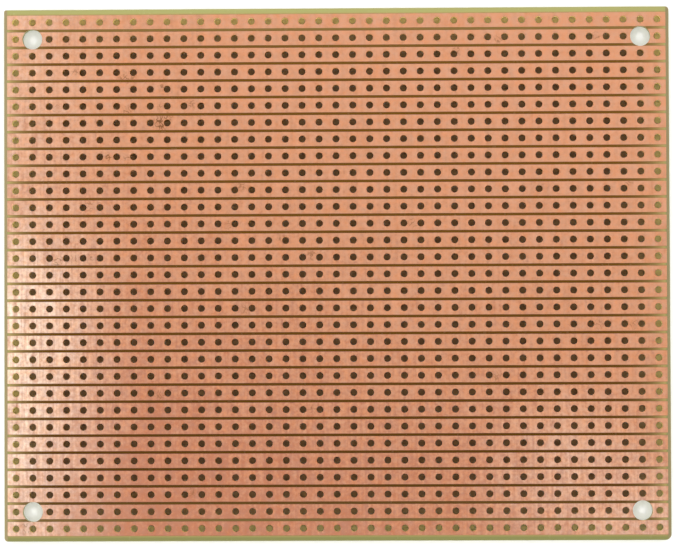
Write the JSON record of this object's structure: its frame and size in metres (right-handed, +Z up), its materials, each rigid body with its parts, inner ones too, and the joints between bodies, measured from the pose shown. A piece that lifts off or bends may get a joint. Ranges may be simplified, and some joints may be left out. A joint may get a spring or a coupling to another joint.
{
  "type": "prototype board",
  "caption": "Flat rectangular prototype board: parallel bare copper strips on a glass-epoxy laminate, drilled right through on a square grid, with a mounting hole near each corner.",
  "frame": {"origin": "centre of the board's underside, the bare face that it lies on", "axes": "+X along the copper strips, +Y across the strips towards the first strip, +Z up out of the copper side"},
  "size_m": [0.1, 0.08, 0.0016],
  "materials": {
    "laminate": "translucent yellow-green glass-epoxy laminate, smooth faces, sawn edges",
    "copper": "bare copper foil, brushed across the strips, lightly tarnished"
  },
  "bodies": {
    "root": {"board_laminate": "laminate", "copper_strip_01": "copper", "copper_strip_02": "copper", "copper_strip_03": "copper", "copper_strip_04": "copper", "copper_strip_05": "copper", "copper_strip_06": "copper", "copper_strip_07": "copper", "copper_strip_08": "copper", "copper_strip_09": "copper", "copper_strip_10": "copper", "copper_strip_11": "copper", "copper_strip_12": "copper", "copper_strip_13": "copper", "copper_strip_14": "copper", "copper_strip_15": "copper", "copper_strip_16": "copper", "copper_strip_17": "copper", "copper_strip_18": "copper", "copper_strip_19": "copper", "copper_strip_20": "copper", "copper_strip_21": "copper", "copper_strip_22": "copper", "copper_strip_23": "copper", "copper_strip_24": "copper", "copper_strip_25": "copper", "copper_strip_26": "copper", "copper_strip_27": "copper", "copper_strip_28": "copper", "copper_strip_29": "copper", "copper_strip_30": "copper", "copper_strip_31": "copper", "copper_end_pad_back_left": "copper", "copper_end_pad_back_right": "copper", "copper_end_pad_front_left": "copper", "copper_end_pad_front_right": "copper"}
  },
  "joints": []
}
